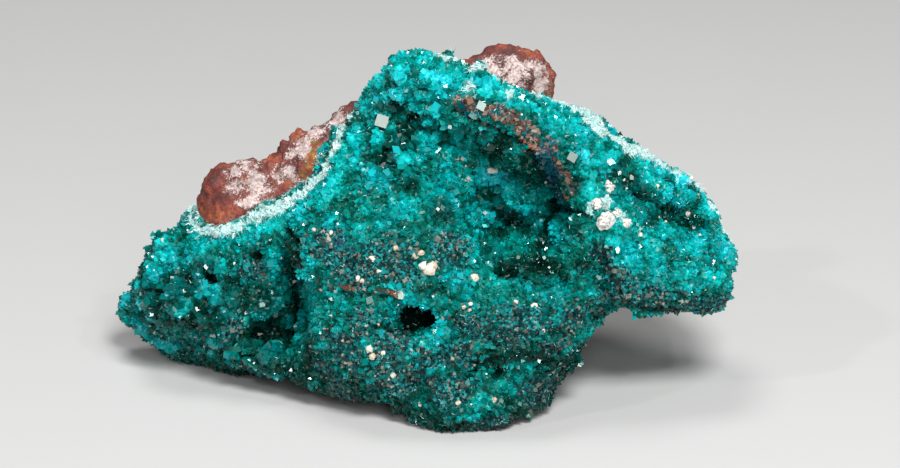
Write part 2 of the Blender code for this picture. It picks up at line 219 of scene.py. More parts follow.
CREVICE_SPOTS = [
    *along(0.3, 0.5, (285, 228), (295, 244)), *along(0.5, 0.6, (293, 256), (297, 270)),
    *along(0.3, 0.5, (294, 284), (297, 302), (292, 318)), *along(0.4, 0.4, (291, 330), (284, 344)),
    *along(0.5, 0.4, (252, 336), (270, 334), (285, 328)),
    *along(0.5, 0.3, (455, 112), (490, 128), (522, 146), (545, 172), (568, 210), (590, 216)),
    *along(0.6, 0.4, (500, 268), (528, 270), (560, 272)),
    *along(0.45, 0.5, (594, 240), (603, 262), (614, 287), (622, 305)),
    *along(0.4, 0.15, (330, 291), (360, 296), (396, 299)),
    *along(0.35, 0.25, (468, 376), (480, 358), (505, 346), (540, 345), (562, 355)),
    *along(0.5, 0.3, (376, 326), (398, 328)), (210, 275, 0.6, 0.9), (254, 258, 0.7, 0.5),
    (233, 246, 0.6, 0.4), (499, 373, 0.8, 0.6), (497, 149, 1.0, 0.9), (412, 316, 1.3, 1.2),
    (428, 312, 1.0, 1.0), (412, 118, 0.9, 0.5), (396, 100, 0.5, 0.7), (385, 150, 0.8, 0.5),
]
# Painted shade: where the druse is painted darker and greener, in hollows, creases, under overhangs, on
# shaded flanks and along its foot.
PAINTED_SHADE_SPOTS = [
    (503, 142, 1.2, 0.7), (262, 256, 1.0, 0.7), (236, 205, 0.6, 0.5), (520, 222, 2.0, 1.2),
    (543, 245, 1.0, 0.8), (548, 178, 2.2, 2.8), (536, 262, 2.4, 0.8), (575, 212, 1.5, 0.9),
    (410, 126, 1.6, 0.8), (415, 315, 2.2, 1.8), (268, 332, 1.9, 1.4), (670, 208, 1.8, 0.9),
    (693, 222, 1.8, 1.0), (650, 217, 1.6, 0.9), (500, 228, 1.6, 0.7), (441, 212, 1.4, 1.4),
    (240, 300, 2.6, 1.6), (385, 152, 1.2, 1.0), (432, 129, 1.0, 0.6), (232, 282, 1.4, 0.9),
    (395, 105, 0.8, 1.0), (212, 312, 2.4, 1.6), (262, 300, 2.0, 2.0), (532, 160, 1.8, 1.2),
    (428, 290, 1.8, 1.0), (456, 322, 0.9, 1.2), (578, 182, 0.8, 0.8), (560, 205, 1.2, 1.4),
    (180, 285, 2.6, 1.8), (150, 296, 1.8, 1.6), (200, 325, 3.4, 1.6), (262, 356, 2.8, 1.6),
    (545, 230, 1.0, 0.8), (465, 226, 1.0, 1.0), (582, 268, 0.9, 0.7), (556, 366, 1.2, 1.0),
    (622, 164, 1.4, 0.7), (640, 193, 1.2, 0.8), (664, 222, 1.0, 0.8), (382, 108, 0.7, 0.7),
    (392, 165, 0.8, 0.9), (410, 186, 1.0, 0.9), (215, 338, 2.0, 0.7), (312, 356, 1.4, 1.4),
    (470, 331, 1.6, 0.7), (510, 335, 2.4, 0.6), (560, 329, 2.0, 0.5), (300, 372, 3.0, 1.4),
    (160, 318, 2.0, 1.6), (402, 138, 1.2, 1.2), (389, 155, 1.2, 1.4), (632, 182, 1.4, 0.9),
    (248, 336, 2.8, 1.4), (257, 355, 1.8, 1.2), (312, 338, 1.0, 1.0), (208, 268, 1.4, 1.2),
    (545, 385, 2.4, 2.4), (405, 412, 2.0, 1.2), (345, 392, 3.0, 0.9), (598, 312, 1.2, 1.2),
    (545, 350, 2.0, 0.8), (140, 268, 0.8, 1.0), (172, 302, 1.4, 1.2), (268, 366, 3.0, 1.2),
    *along(0.5, 0.7, (290, 246), (295, 262), (297, 284), (293, 310)),
    *along(1.6, 0.9, (395, 416), (430, 430), (480, 432), (530, 420), (556, 398)),
    *along(2.0, 1.4, (602, 324), (576, 352), (556, 380), (548, 404)),
    *along(1.4, 0.8, (490, 362), (520, 352), (552, 362)),
    *along(1.2, 0.6, (650, 307), (700, 314), (728, 298)),
    *along(1.4, 0.8, (240, 368), (300, 392), (370, 398)),
]
# Painted light: where the druse is painted lighter, on lit ridges, lips, lump tops and fronts.
PAINTED_LIGHT_SPOTS = [
    (622, 248, 3.0, 2.4), (592, 172, 1.6, 2.6), (608, 202, 2.0, 1.8), (626, 218, 1.6, 1.0),
    (600, 150, 3.0, 1.6), (162, 252, 1.8, 1.0), (400, 205, 1.8, 1.4), (345, 305, 1.4, 0.8),
    (650, 232, 3.4, 1.4), (445, 165, 1.8, 1.2), (700, 282, 3.4, 1.2), (720, 248, 1.8, 2.6),
    (690, 246, 2.4, 0.8), (648, 252, 1.6, 1.0), (640, 250, 2.4, 1.6), (590, 215, 1.0, 2.6),
    (594, 240, 1.0, 1.2), (650, 178, 2.4, 1.0), (675, 205, 1.4, 0.7), (378, 94, 1.2, 1.0),
    (490, 168, 1.4, 1.0), (462, 158, 1.2, 1.2), (420, 345, 2.6, 1.8), (400, 292, 1.6, 0.5),
    (500, 382, 1.0, 1.0), (465, 110, 1.4, 0.8), (382, 78, 1.0, 0.9), (130, 306, 1.0, 0.8),
    (360, 232, 1.4, 1.0), (330, 225, 1.4, 0.8), (165, 345, 2.6, 1.0), (128, 318, 1.4, 1.2),
    (205, 352, 2.0, 0.8), (306, 288, 1.0, 2.0), (311, 315, 1.0, 1.8), (340, 291, 1.6, 0.7),
    (498, 172, 1.6, 1.0), (500, 252, 1.2, 1.2), *along(1.0, 1.2, (310, 258), (311, 285), (314, 325)),
    (298, 214, 1.4, 1.8), (604, 175, 1.4, 1.2), *along(1.0, 0.7, (386, 70), (402, 56), (428, 56)),
    *along(0.9, 0.5, (425, 74), (470, 84), (520, 96), (570, 114)), (515, 188, 1.4, 0.8),
    (494, 176, 1.4, 0.8), (478, 402, 1.6, 1.0), (395, 288, 1.6, 0.6), (318, 292, 1.2, 0.8),
    (301, 322, 0.7, 1.4), (602, 186, 1.3, 1.4), (600, 146, 1.0, 0.8), (588, 314, 1.2, 1.0),
    (184, 270, 0.8, 1.0), (493, 166, 1.2, 0.7), (635, 235, 1.6, 1.6), (640, 268, 1.2, 1.0),
    (715, 286, 1.4, 1.2), (408, 64, 1.0, 0.8), (432, 112, 0.9, 0.8), (448, 96, 0.9, 0.5),
    (466, 142, 1.0, 0.8), (365, 108, 0.8, 1.2), (382, 186, 1.0, 1.0), (509, 388, 1.0, 1.2),
    (376, 380, 1.4, 1.4), (470, 417, 1.4, 0.7), (425, 366, 2.2, 1.0), (646, 225, 1.6, 2.0),
    (178, 270, 1.2, 1.0), *along(1.0, 0.4, (405, 262), (435, 278)), (660, 285, 2.6, 1.2),
    (700, 235, 1.6, 1.2), (612, 262, 1.4, 1.6),
    *along(1.4, 0.9, (510, 102), (545, 115), (590, 135), (620, 160)),
    *along(1.0, 0.7, (640, 160), (672, 172), (700, 192), (722, 225), (730, 262)),
    *along(1.0, 0.9, (205, 245), (240, 240), (275, 225), (305, 208), (330, 190), (345, 165), (356, 130)),
]
RUSTY_SPOTS = [
    *along(1.4, 0.8, (464, 104), (490, 109), (508, 116), (527, 128)),
    *along(1.3, 0.9, (527, 128), (546, 148)), *along(0.6, 0.5, (548, 150), (562, 168), (571, 190)),
]
SALMON_SPOTS = [
    *along(0.5, 0.13, (487, 123), (505, 131), (522, 140), (535, 149)),
    *along(0.4, 0.13, (524, 150), (538, 151), (550, 158)),
    *along(0.3, 0.2, (556, 160), (566, 172), (570, 184), (566, 196)), (503, 118, 0.3, 0.2),
    (529, 122, 0.3, 0.2),
]
LEDGE_SPOTS = [
    *along(0.6, 0.16, (322, 284), (345, 287), (370, 290), (397, 293)), (447, 318, 0.3, 0.3),
    (555, 376, 0.3, 0.3),
]
BLUE_SPOTS = [*along(1.0, 1.1, (545, 158), (552, 178), (560, 200)), (340, 242, 0.5, 0.5)]
COARSE_SPOTS = [
    (400, 90, 5.0, 3.4), (385, 150, 3.4, 3.0), (440, 130, 3.4, 2.6), (500, 180, 5.0, 5.0),
    (560, 230, 3.4, 3.4), (200, 290, 4.6, 3.4), (150, 300, 2.4, 3.0), (610, 160, 2.6, 2.0),
    (680, 190, 3.4, 1.4), (240, 350, 4.0, 2.0), (480, 90, 2.4, 1.2),
]
PALE_SPOTS = [
    *along(0.4, 0.4, (190, 206), (190, 216), (195, 227), (206, 232)),
    *along(0.6, 0.4, (206, 232), (224, 232), (242, 225), (258, 218)),
    *along(1.0, 0.6, (258, 217), (275, 209), (292, 200), (306, 191), (318, 181)),
    *along(0.5, 0.5, (318, 181), (328, 166), (334, 150), (342, 130), (349, 116)),
    *along(0.6, 0.35, (440, 56), (465, 62), (490, 68), (515, 76), (540, 84), (562, 94), (582, 103)),
    *along(1.3, 1.1, (585, 110), (598, 124), (610, 138), (630, 149)),
    *along(0.7, 0.6, (636, 149), (656, 159)),
    *along(0.4, 0.35, (662, 162), (696, 185), (714, 204), (727, 226)), (606, 202, 0.6, 0.9),
    (590, 208, 0.4, 0.8), (622, 216, 0.6, 0.6), (470, 88, 0.6, 0.5), (510, 95, 0.5, 0.4),
]
# Rounded masses of druse, in the large hollow and elsewhere: a pixel and a radius.
BOULDERS = [
    (517, 194, 1.9), (568, 243, 2.2), (490, 172, 1.2), (478, 215, 1.3), (508, 240, 1.4), (530, 225, 1.2),
    (470, 250, 1.2), (445, 205, 1.4), (540, 195, 1.0), (597, 195, 1.0), (410, 125, 0.9), (425, 145, 0.9),
    (380, 108, 0.9), (408, 92, 0.9), (440, 80, 1.1), (416, 160, 0.8), (455, 180, 1.0), (200, 258, 1.4),
    (225, 300, 1.5), (178, 300, 1.4), (155, 270, 1.5), (265, 300, 1.5), (240, 272, 1.0), (215, 330, 1.3),
    (150, 330, 1.3), (275, 262, 1.0), (650, 215, 0.9), (680, 190, 0.9), (705, 215, 0.8), (419, 298, 1.7),
    (441, 327, 1.1), (640, 180, 0.7), (310, 310, 0.9), (315, 340, 0.9), (308, 275, 0.8), (270, 360, 1.4),
]


ROUGH_SIZE = 1.8
FINE_SIZE = 0.6
# Where each look begins to fade in its zones, then the shares of rough and fine noise that fray it.
FRAYS = {
    "dusty": (0.2, 0.6, 0.6),
    "painted_shade": (0.3, 0.25, 0.15),
    "painted_light": (0.1, 0.5, 0.4),
    "rusty": (0.3, 0.6, 0.8),
    "blue": (0.3, 0.3, 0.3),
    "salmon": (0.4, 0.2, 0.6),
    "pale": (0.3, 0.2, 0.6),
}
FRAYED_FROM = 0.02  # noise counts only where a zone already does
DUSTY_SPAN = (0.2, 0.6)
LEDGE_FADE = 0.4
LOW_HEIGHT = 6.0  # below it the druse is painted darker, as painted shade near the floor
LOW_SHADE_SHARE = 0.75
LOW_WAVES = 1.2
SEAM_SPAN = (0.1, 1.1)  # the seam's fading, by the distance from the rock
SEAM_WAVES = 0.8


def druse_fields(points, places, seam_share):
    """What the druse is like at each point, from 0 to 1, with its painted shade and painted light. The pale
    seam runs along the rock's edge.
    """
    rough = cloud(points, ROUGH_SIZE, 1)
    fine = cloud(points, FINE_SIZE, 2)
    fields = {}
    for key, (edge, rough_share, fine_share) in FRAYS.items():
        whole = inside(points, places[key], edge)
        frayed = whole + (rough_share * rough + fine_share * fine) * (whole > FRAYED_FROM)
        fields[key] = np.clip(frayed, 0, 1)
    # Painted shade near the floor, weaker where painted light is.
    upward = smooth_step(0.0, LOW_HEIGHT, points[:, 2] + LOW_WAVES * rough)
    low = LOW_SHADE_SHARE * (1 - fields["painted_light"]) * (1 - upward)
    from_rock = distances_to(places["rock"], points)
    seam = seam_share * (1 - smooth_step(*SEAM_SPAN, from_rock + SEAM_WAVES * fine))
    fields["dusty"] = smooth_step(*DUSTY_SPAN, fields["dusty"])
    fields["painted_shade"] = np.maximum(fields["painted_shade"], low)
    fields["rusty"] = np.maximum(fields["rusty"], inside(points, places["ledge"], LEDGE_FADE))
    fields["pale"] = np.maximum(fields["pale"], seam)
    fields["tint"] = np.clip(0.5 + 0.35 * rough + 0.25 * fine, 0, 1)
    return fields


def distances_to(tree, points):
    return np.array([tree.find_nearest(Vector(point) * MM)[3] for point in points]) / MM


class Surface:
    """The triangles of a piece, with what is known at each of its points."""

    def __init__(self, obj):
        mesh = obj.data
        mesh.calc_loop_triangles()
        self.obj = obj
        self.points = threes(mesh.vertices, "co").astype(float) / MM
        self.normals = threes(mesh.vertex_normals, "vector").astype(float)
        self.corners = threes(mesh.loop_triangles, "vertices", np.int32)
        self.fields = {}  # by name, a number at each point

    def store(self, fields):
        self.fields.update(fields)
        for key, values in fields.items():
            set_attribute(self.obj.data, key, values)

    def move(self, heights):
        """Moves each point along its normal, and never under the floor."""
        self.points = self.points + self.normals * heights[:, None]
        self.points[:, 2] = np.maximum(self.points[:, 2], 0.0)
        self.obj.data.vertices.foreach_set("co", (self.points * MM).astype(np.float32).ravel())
        self.obj.data.update()

    def scatter(self, count, share, rng):
        """Places, normals and fields, spread evenly and thinned to a share that is given at each point."""
        first, second, third = (self.points[self.corners[:, i]] for i in range(3))
        areas = np.linalg.norm(np.cross(second - first, third - first), axis=1)
        picked = self.corners[rng.choice(len(areas), count, p=areas / areas.sum())]
        weights = rng.dirichlet((1, 1, 1), count)

        def blend(values):
            return np.einsum("nc,nc...->n...", weights, values[picked])

        kept = rng.random(count) < blend(share)
        fields = {key: blend(values)[kept] for key, values in self.fields.items()}
        return blend(self.points)[kept], blend(self.normals)[kept], fields


# ------------ crystals


def ring(count, heights):
    """Points round a circle of radius 1, at one height or at a height for each."""
    turns = np.arange(count) * FULL_TURN / count
    return np.column_stack([np.cos(turns), np.sin(turns), np.full(count, heights)])


PRISM_TIP = 0.4
PRISM_DIP = -0.4  # every second corner of its rim
PRISM_ROOT = -1.6


def prism_crystal():
    """A six-sided prism that ends in three diamond faces, of radius 1, with its rim at height 0."""
    points = np.vstack([ring(6, PRISM_ROOT), ring(6, [0.0, PRISM_DIP] * 3), [(0, 0, PRISM_TIP)]])
    sides = np.array([(i, (i + 1) % 6, 6 + (i + 1) % 6, 6 + i) for i in range(6)])
    tips = np.array([(12, 6 + i, 6 + i + 1, 6 + (i + 2) % 6) for i in (0, 2, 4)])
    floor = np.array([(3, 2, 1, 0), (5, 4, 3, 0)])
    return points, np.vstack([sides, tips, floor])


def rhomb_crystal():
    """A rhombohedron that stands on one corner, radius 1, from -1 to 1 along its axis."""
    upper = ring(3, 1 / 3)
    points = np.vstack([[(0, 0, 1.0)], upper, -upper, [(0, 0, -1.0)]])
    faces = []
    for i in range(3):
        after, opposite = (i + 1) % 3, (i + 2) % 3
        faces.append((0, 1 + i, 4 + opposite, 1 + after))
        faces.append((7, 4 + after, 1 + opposite, 4 + i))
    return points, np.array(faces)


def needle():
    """A three-sided spike of radius 1 and length 1."""
    points = np.vstack([ring(3, 0.0), [(0, 0, 1.0)]])
    return points, np.array([(0, 1, 3), (1, 2, 3), (2, 0, 3), (2, 1, 0)])


def frames_along(axes, turns):
    """A rotation matrix for each axis, which takes +Z to it, turned about it."""
    axes = axes / np.linalg.norm(axes, axis=1, keepdims=True)
    helper = np.where(np.abs(axes[:, 2:3]) < 0.9, [(0.0, 0.0, 1.0)], [(1.0, 0.0, 0.0)])
    first = np.cross(helper, axes)
    first /= np.linalg.norm(first, axis=1, keepdims=True)
    second = np.cross(axes, first)
    cosine, sine = np.cos(turns)[:, None], np.sin(turns)[:, None]
    return np.stack([first * cosine + second * sine, second * cosine - first * sine, axes], 2)


OFF_FLOOR = 0.01  # a crystal with a corner below this height is left out


def many(name, template, places, axes, turns, scales, attributes):
    """One mesh of many copies of a small shape, each with its own place, axis, turn, sizes and tints."""
    points, faces = template
    turned = np.einsum("nij,nkj->nki", frames_along(axes, turns), points[None] * scales[:, None, :])
    copies = turned + places[:, None, :]
    above = copies[:, :, 2].min(1) > OFF_FLOOR
    copies = copies[above]
    first = np.arange(len(copies)) * len(points)
    all_faces = (faces[None] + first[:, None, None]).reshape(-1, faces.shape[1])
    repeated = {key: np.repeat(values[above], len(points)) for key, values in attributes.items()}
    return new_mesh_object(name, copies.reshape(-1, 3), all_faces, repeated)


# ------------ materials


class Shading:
    """A short way to write a material's nodes."""

    def __init__(self, name):
        self.material = bpy.data.materials.new(name)
        self.material.use_nodes = True
        self.tree = self.material.node_tree
        self.shader = self.tree.nodes["Principled BSDF"]

    def put(self, socket, value):
        if isinstance(value, bpy.types.NodeSocket):
            self.tree.links.new(value, socket)
        elif isinstance(value, tuple) and len(socket.default_value) == 4:
            socket.default_value = (*value, 1)
        else:
            socket.default_value = value

    def set(self, **values):
        for key, value in values.items():
            self.put(self.shader.inputs[key.replace("_", " ")], value)

    def node(self, kind, *numbered, **named):
        """A new node, with what goes into its sockets, by their number or by their name."""
        made = self.tree.nodes.new("ShaderNode" + kind)
        for key, value in (*enumerate(numbered), *named.items()):
            self.put(made.inputs[key], value)
        return made

    def field(self, name):
        made = self.node("Attribute")
        made.attribute_name = name
        return made.outputs["Fac"]

    def part(self, name, share):
        """A share of a field."""
        return self.math("MULTIPLY", self.field(name), share)

    def texture(self, kind, size, **settings):
        place = self.node("TexCoord").outputs["Object"]
        return self.node("Tex" + kind, Vector=place, Scale=1 / (size * MM), **settings)

    def noise(self, size, detail=3.0, roughness=0.55):
        return self.texture("Noise", size, Detail=detail, Roughness=roughness).outputs["Fac"]

    def cells(self, size):
        return self.texture("Voronoi", size).outputs["Color"]

    def math(self, operation, *values):
        made = self.node("Math", *values)
        made.operation = operation
        made.use_clamp = operation in ("ADD", "SUBTRACT", "MULTIPLY_ADD")
        return made.outputs[0]

    def vector(self, operation, *values):
        made = self.node("VectorMath", *values)
        made.operation = operation
        return made.outputs[0]

    def span(self, value, low, high, to_low=0.0, to_high=1.0):
        made = self.node("MapRange", value, low, high, to_low, to_high)
        made.interpolation_type = "SMOOTHSTEP"
        return made.outputs[0]

    def ramp(self, value, stops):
        made = self.node("ValToRGB", value)
        elements = made.color_ramp.elements
        while len(elements) < len(stops):
            elements.new(0.5)
        for element, (position, colour) in zip(elements, stops):
            element.position = position
            element.color = (*colour, 1)
        return made.outputs["Color"]

    def mix(self, share, first, second, kind="MIX"):
        made = self.node("Mix", share)
        made.data_type = "RGBA"
        made.blend_type = kind
        for key, value in (("A", first), ("B", second)):
            self.put(next(s for s in made.inputs if s.name == key and s.type == "RGBA"), value)
        return next(s for s in made.outputs if s.type == "RGBA")

    def bump(self, height, depth, strength):
        made = self.node("Bump", Height=height, Distance=depth * MM, Strength=strength)
        self.put(self.shader.inputs["Normal"], made.outputs["Normal"])

    def facets(self, size, lean):
        """Breaks the surface up into small flat faces, each of which leans its own way."""
        own_way = self.vector("SUBTRACT", self.cells(size), (0.5, 0.5, 0.5))
        leaning = self.vector("MULTIPLY", own_way, (lean, lean, lean))
        whole = self.vector("ADD", self.node("NewGeometry").outputs["Normal"], leaning)
        self.put(self.shader.inputs["Normal"], self.vector("NORMALIZE", whole))


# Each colour is linear red, green and blue, and each stop is a place on a ramp and its colour.
TEAL_STOPS = [
    (0.0, (0.0, 0.026, 0.016)), (0.2, (0.0, 0.09, 0.064)), (0.42, (0.0, 0.23, 0.195)),
    (0.65, (0.0, 0.45, 0.43)), (1.0, (0.02, 0.72, 0.735)),
]
DUST_STOPS = [
    (0.0, (0.0, 0.012, 0.013)), (0.3, (0.0, 0.045, 0.045)), (0.46, (0.002, 0.15, 0.15)),
    (0.64, (0.01, 0.32, 0.32)), (0.67, (0.03, 0.05, 0.045)), (0.8, (0.10, 0.135, 0.11)),
    (0.92, (0.215, 0.235, 0.185)), (1.0, (0.46, 0.45, 0.38)),
]
RUST_STOPS = [
    (0.0, (0.0, 0.05, 0.06)), (0.26, (0.0, 0.16, 0.2)), (0.34, (0.05, 0.03, 0.022)),
    (0.52, (0.17, 0.07, 0.042)), (0.74, (0.27, 0.17, 0.12)), (1.0, (0.36, 0.38, 0.32)),
]
# The needles' colours, which also paint the slivers white as glints.
NEEDLE_AND_GLINT_STOPS = [
    (0.0, (0.02, 0.45, 0.46)), (0.3, (0.34, 0.72, 0.72)), (0.7, (0.68, 0.82, 0.8)),
    (1.0, (0.9, 0.92, 0.89)),
]
ROCK_STOPS = [
    (0.32, (0.06, 0.018, 0.016)), (0.44, (0.16, 0.034, 0.026)), (0.54, (0.26, 0.05, 0.028)),
    (0.62, (0.38, 0.10, 0.04)), (0.72, (0.24, 0.07, 0.05)),
]
OCHRE_STOPS = [(0.38, (0.10, 0.11, 0.018)), (0.6, (0.50, 0.17, 0.02))]
GRAIN_STOPS = [(0.0, (0.42, 0.33, 0.22)), (0.5, (0.66, 0.58, 0.46)), (1.0, (0.74, 0.72, 0.66))]
# The pale rhombs' colours, a painted highlight for glints.
GLINT_STOPS = [(0.0, (0.20, 0.21, 0.17)), (0.5, (0.30, 0.42, 0.38)), (1.0, (0.24, 0.50, 0.45))]
ROCK_SPECK = (0.07, 0.018, 0.014)
POWDER_THIN = (0.35, 0.23, 0.21)
POWDER_THICK = (0.58, 0.5, 0.48)
GRAIN_STAIN = (0.36, 0.29, 0.22)
ROSETTE_WHITE = (0.64, 0.64, 0.60)
ROSETTE_BROWN = (0.18, 0.12, 0.08)
PALE = (0.50, 0.72, 0.70)
BLADE_BLUE = (0.003, 0.08, 0.13)
SALMON = (0.36, 0.13, 0.09)
PAINTED_SHADE_GREEN = (0.0, 0.06, 0.04)
UNCHANGED = (1.0, 1.0, 1.0)  # this one and the next two multiply another colour
BLUER = (1.0, 0.93, 1.03)
SHADE = (0.24, 0.3, 0.29)
DIOPTASE_IOR = 1.66
DUSTY_ROUGHNESS = 0.45


def druse_colour(look, tint, other):
    """The druse's colour: tint runs from deep to bright teal, painted light lifts it and painted shade
    darkens it, and other picks among the dust's colours.
    """
    # painted light lifts the tint, and painted shade lowers it
    lifted = look.math("MULTIPLY_ADD", look.field("painted_light"), 0.26, tint)
    colour = look.ramp(look.math("SUBTRACT", lifted, look.part("painted_shade", 0.2)), TEAL_STOPS)
    bluer = look.mix(1.0, colour, BLUER, "MULTIPLY")
    colour = look.mix(look.span(look.noise(2.6, detail=2.0), 0.42, 0.62), colour, bluer)
    # painted shade: a darker green where the druse lies in shade
    colour = look.mix(look.part("painted_shade", 0.4), colour, PAINTED_SHADE_GREEN)
    colour = look.mix(look.span(look.field("dusty"), 0.15, 0.6), colour, look.ramp(other, DUST_STOPS))
    colour = look.mix(look.span(look.field("rusty"), 0.3, 0.6), colour, look.ramp(other, RUST_STOPS))
    colour = look.mix(look.part("blue", 0.8), colour, BLADE_BLUE)
    colour = look.mix(look.span(look.field("salmon"), 0.4, 0.7), colour, SALMON)
    # painted shade: the same places multiplied darker still
    shade = look.mix(look.part("painted_shade", 0.8), UNCHANGED, SHADE)
    colour = look.mix(1.0, colour, shade, "MULTIPLY")
    frayed = look.math("MULTIPLY_ADD", look.noise(0.5), 0.5, look.field("pale"))
    return look.mix(look.span(frayed, 0.65, 1.0), colour, PALE)


def crystal_material(name, transmission, roughness):
    look = Shading(name)
    own = look.math("SUBTRACT", look.field("tint"), 0.1)
    tint = look.math("MULTIPLY_ADD", look.noise(0.4), 0.2, own)
    look.set(
        Base_Color=druse_colour(look, tint, look.field("other")),
        Roughness=look.span(look.field("dusty"), 0.2, 0.8, roughness, DUSTY_ROUGHNESS),
        IOR=DIOPTASE_IOR,
        Transmission_Weight=transmission,
        Specular_IOR_Level=0.16,
    )
    return look.material


def skin_material():
    look = Shading("druse_ground")
    other = look.math("MULTIPLY", look.cells(0.24), 0.7)
    own = look.math("MULTIPLY_ADD", look.field("tint"), 0.85, -0.2)
    tint = look.math("MULTIPLY_ADD", look.noise(0.3), 0.35, own)
    look.set(
        Base_Color=druse_colour(look, tint, other), Roughness=0.3, IOR=DIOPTASE_IOR, Specular_IOR_Level=0.12
    )
    look.facets(size=0.2, lean=1.1)
    return look.material


def needle_and_glint_material():
    look = Shading("pale_needles")
    look.set(Base_Color=look.ramp(look.field("other"), NEEDLE_AND_GLINT_STOPS), Roughness=0.35, IOR=1.6)
    return look.material


def matrix_material():
    look = Shading("rusty_rock")
    broad = look.ramp(look.noise(2.2, detail=4.0), ROCK_STOPS)
    specks = look.span(look.noise(0.3, detail=4.0), 0.4, 0.7, to_high=0.75)
    colour = look.mix(specks, broad, ROCK_SPECK)
    ochre = look.math("MULTIPLY", look.field("ochre"), look.span(look.noise(0.6), 0.42, 0.6))
    colour = look.mix(ochre, colour, look.ramp(look.noise(0.35), OCHRE_STOPS))
    covered = look.part("powder", 0.27)
    patchy = look.math("MULTIPLY_ADD", look.noise(1.1, detail=5.0, roughness=0.7), 0.75, covered)
    grainy = look.math("MULTIPLY_ADD", look.noise(0.14, detail=2.0), 0.4, patchy)
    where = look.span(look.field("powder"), 0.0, 0.25)
    powder = look.math("MULTIPLY", look.span(grainy, 0.68, 0.8), where)
    thickness = look.span(look.noise(0.22), 0.35, 0.65)
    colour = look.mix(powder, colour, look.mix(thickness, POWDER_THIN, POWDER_THICK))
    look.set(Base_Color=colour, Roughness=look.span(look.noise(1.2), 0.3, 0.7, to_low=0.5, to_high=0.85))
    height = look.math("ADD", look.noise(0.22, detail=5.0), look.math("MULTIPLY", powder, 0.6))
    look.bump(height, depth=0.16, strength=0.9)
    return look.material


def grain_material():
    look = Shading("cream_grains")
    colour = look.ramp(look.field("other"), GRAIN_STOPS)
    colour = look.mix(look.span(look.noise(0.2), 0.5, 0.8), colour, GRAIN_STAIN)
    look.set(Base_Color=colour, Roughness=0.4)
    look.bump(look.noise(0.12), depth=0.05, strength=0.7)
    return look.material


def glint_crystal_material():
    # painted highlight: a pale colour that stands for glints
    look = Shading("glint_crystals")
    colour = look.ramp(look.field("other"), GLINT_STOPS)
    look.set(Base_Color=colour, Roughness=0.2, IOR=1.5, Transmission_Weight=0.3)
    return look.material


def rosette_material():
    look = Shading("white_rosettes")
    speck = look.span(look.noise(0.16), 0.52, 0.66)
    look.set(Base_Color=look.mix(speck, ROSETTE_WHITE, ROSETTE_BROWN), Roughness=0.6)
    return look.material


# ------------ the pieces


def finish(obj, material, slot="dioptase_crust", *nodes):
    """Gives a piece its material and its body, and hides the CAD nodes that it replaces, if any. The slot is
    not used.
    """
    obj.data.materials.clear()
    obj.data.materials.append(material)
    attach(obj, BODY)
    if nodes:
        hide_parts(*nodes)


JOIN_DISTANCE = 0.0005
SMOOTHING_FACTOR = 0.5
GAP_FILLING = 0.28  # how far each solid swells to close its gap to the next one
# A ground's voxel, its rounds of smoothing, and how far it is sunk.
ROCK_GROUND = (0.3, 4, 0.3)
SKIN_GROUND = (0.28, 6, 0.4)
HOLLOW_GROUND = (0.2, 2, -0.25)


def ground(name, node, voxel, smoothing):
    """A fine and even surface in a CAD node's shape, made from a copy whose corners are joined up."""
    bm = bmesh.new()
    bm.from_mesh(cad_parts[node].data)
    bmesh.ops.remove_doubles(bm, verts=bm.verts, dist=JOIN_DISTANCE * MM)
    obj = linked(name, mesh_from(name, bm))
    remesh = obj.modifiers.new("even", "REMESH")
    remesh.mode = "VOXEL"
    remesh.voxel_size = voxel * MM
    smooth = obj.modifiers.new("smooth", "SMOOTH")
    smooth.factor = SMOOTHING_FACTOR
    smooth.iterations = smoothing
    graph = bpy.context.evaluated_depsgraph_get()
    mesh = bpy.data.meshes.new_from_object(obj.evaluated_get(graph))
    obj.modifiers.clear()
    obj.data = mesh
    for polygon in mesh.polygons:
        polygon.use_smooth = True
    return Surface(obj)


# A mass is part of a ball: how deep its middle lies, its reach and its height, as shares of its radius.
MASS_DEPTH = 0.35
MASS_REACH = 1.15
MASS_HEIGHT = 0.7


def swelling(points, tree):
    """How far the rounded masses stand out at each point, in millimetres."""
    out = np.zeros(len(points))
    for across, down, radius in BOULDERS:
        place, normal = hit(tree, across, down)
        if place is None:
            continue
        middle = place - normal * MASS_DEPTH * radius
        away = np.linalg.norm(points - middle, axis=1) / (MASS_REACH * radius)
        out = np.maximum(out, MASS_HEIGHT * radius * np.sqrt(np.clip(1 - away**2, 0, 1)))
    return out


# Distances over which the druse comes clear of what it touches, and stops filling the gap to it.
CLEAR_OF_ROCK = (0.4, 0.7)
CLEAR_OF_OTHERS = (0.31, 0.4)
TOUCHING = (0.35, 0.9)
COARSE_FADE = 0.6
CREVICE_FADE = 0.2
# Relief: the size of each form, its height, and its seed where one is given.
LARGE_HEAPS = (1.8, 0.15)
COARSER = 0.55  # how much higher the large heaps are where the druse is coarse
SMALL_HEAPS = (0.8, 0.24)
DRUSE_WAVES = ((3.5, 0.25, 3), (0.45, 0.09, 4))
ROCK_HEAPS = ((3.0, 0.5, 11), (1.0, 0.28, 12))
ROCK_WAVES = ((2.4, 0.35, 14), (0.5, 0.2, 13))
MASS_SHARE = 0.55
CREVICE_DEPTH = 0.9


def relief(points, form, rows):
    return sum(height * form(points, size, seed) for size, height, seed in rows)


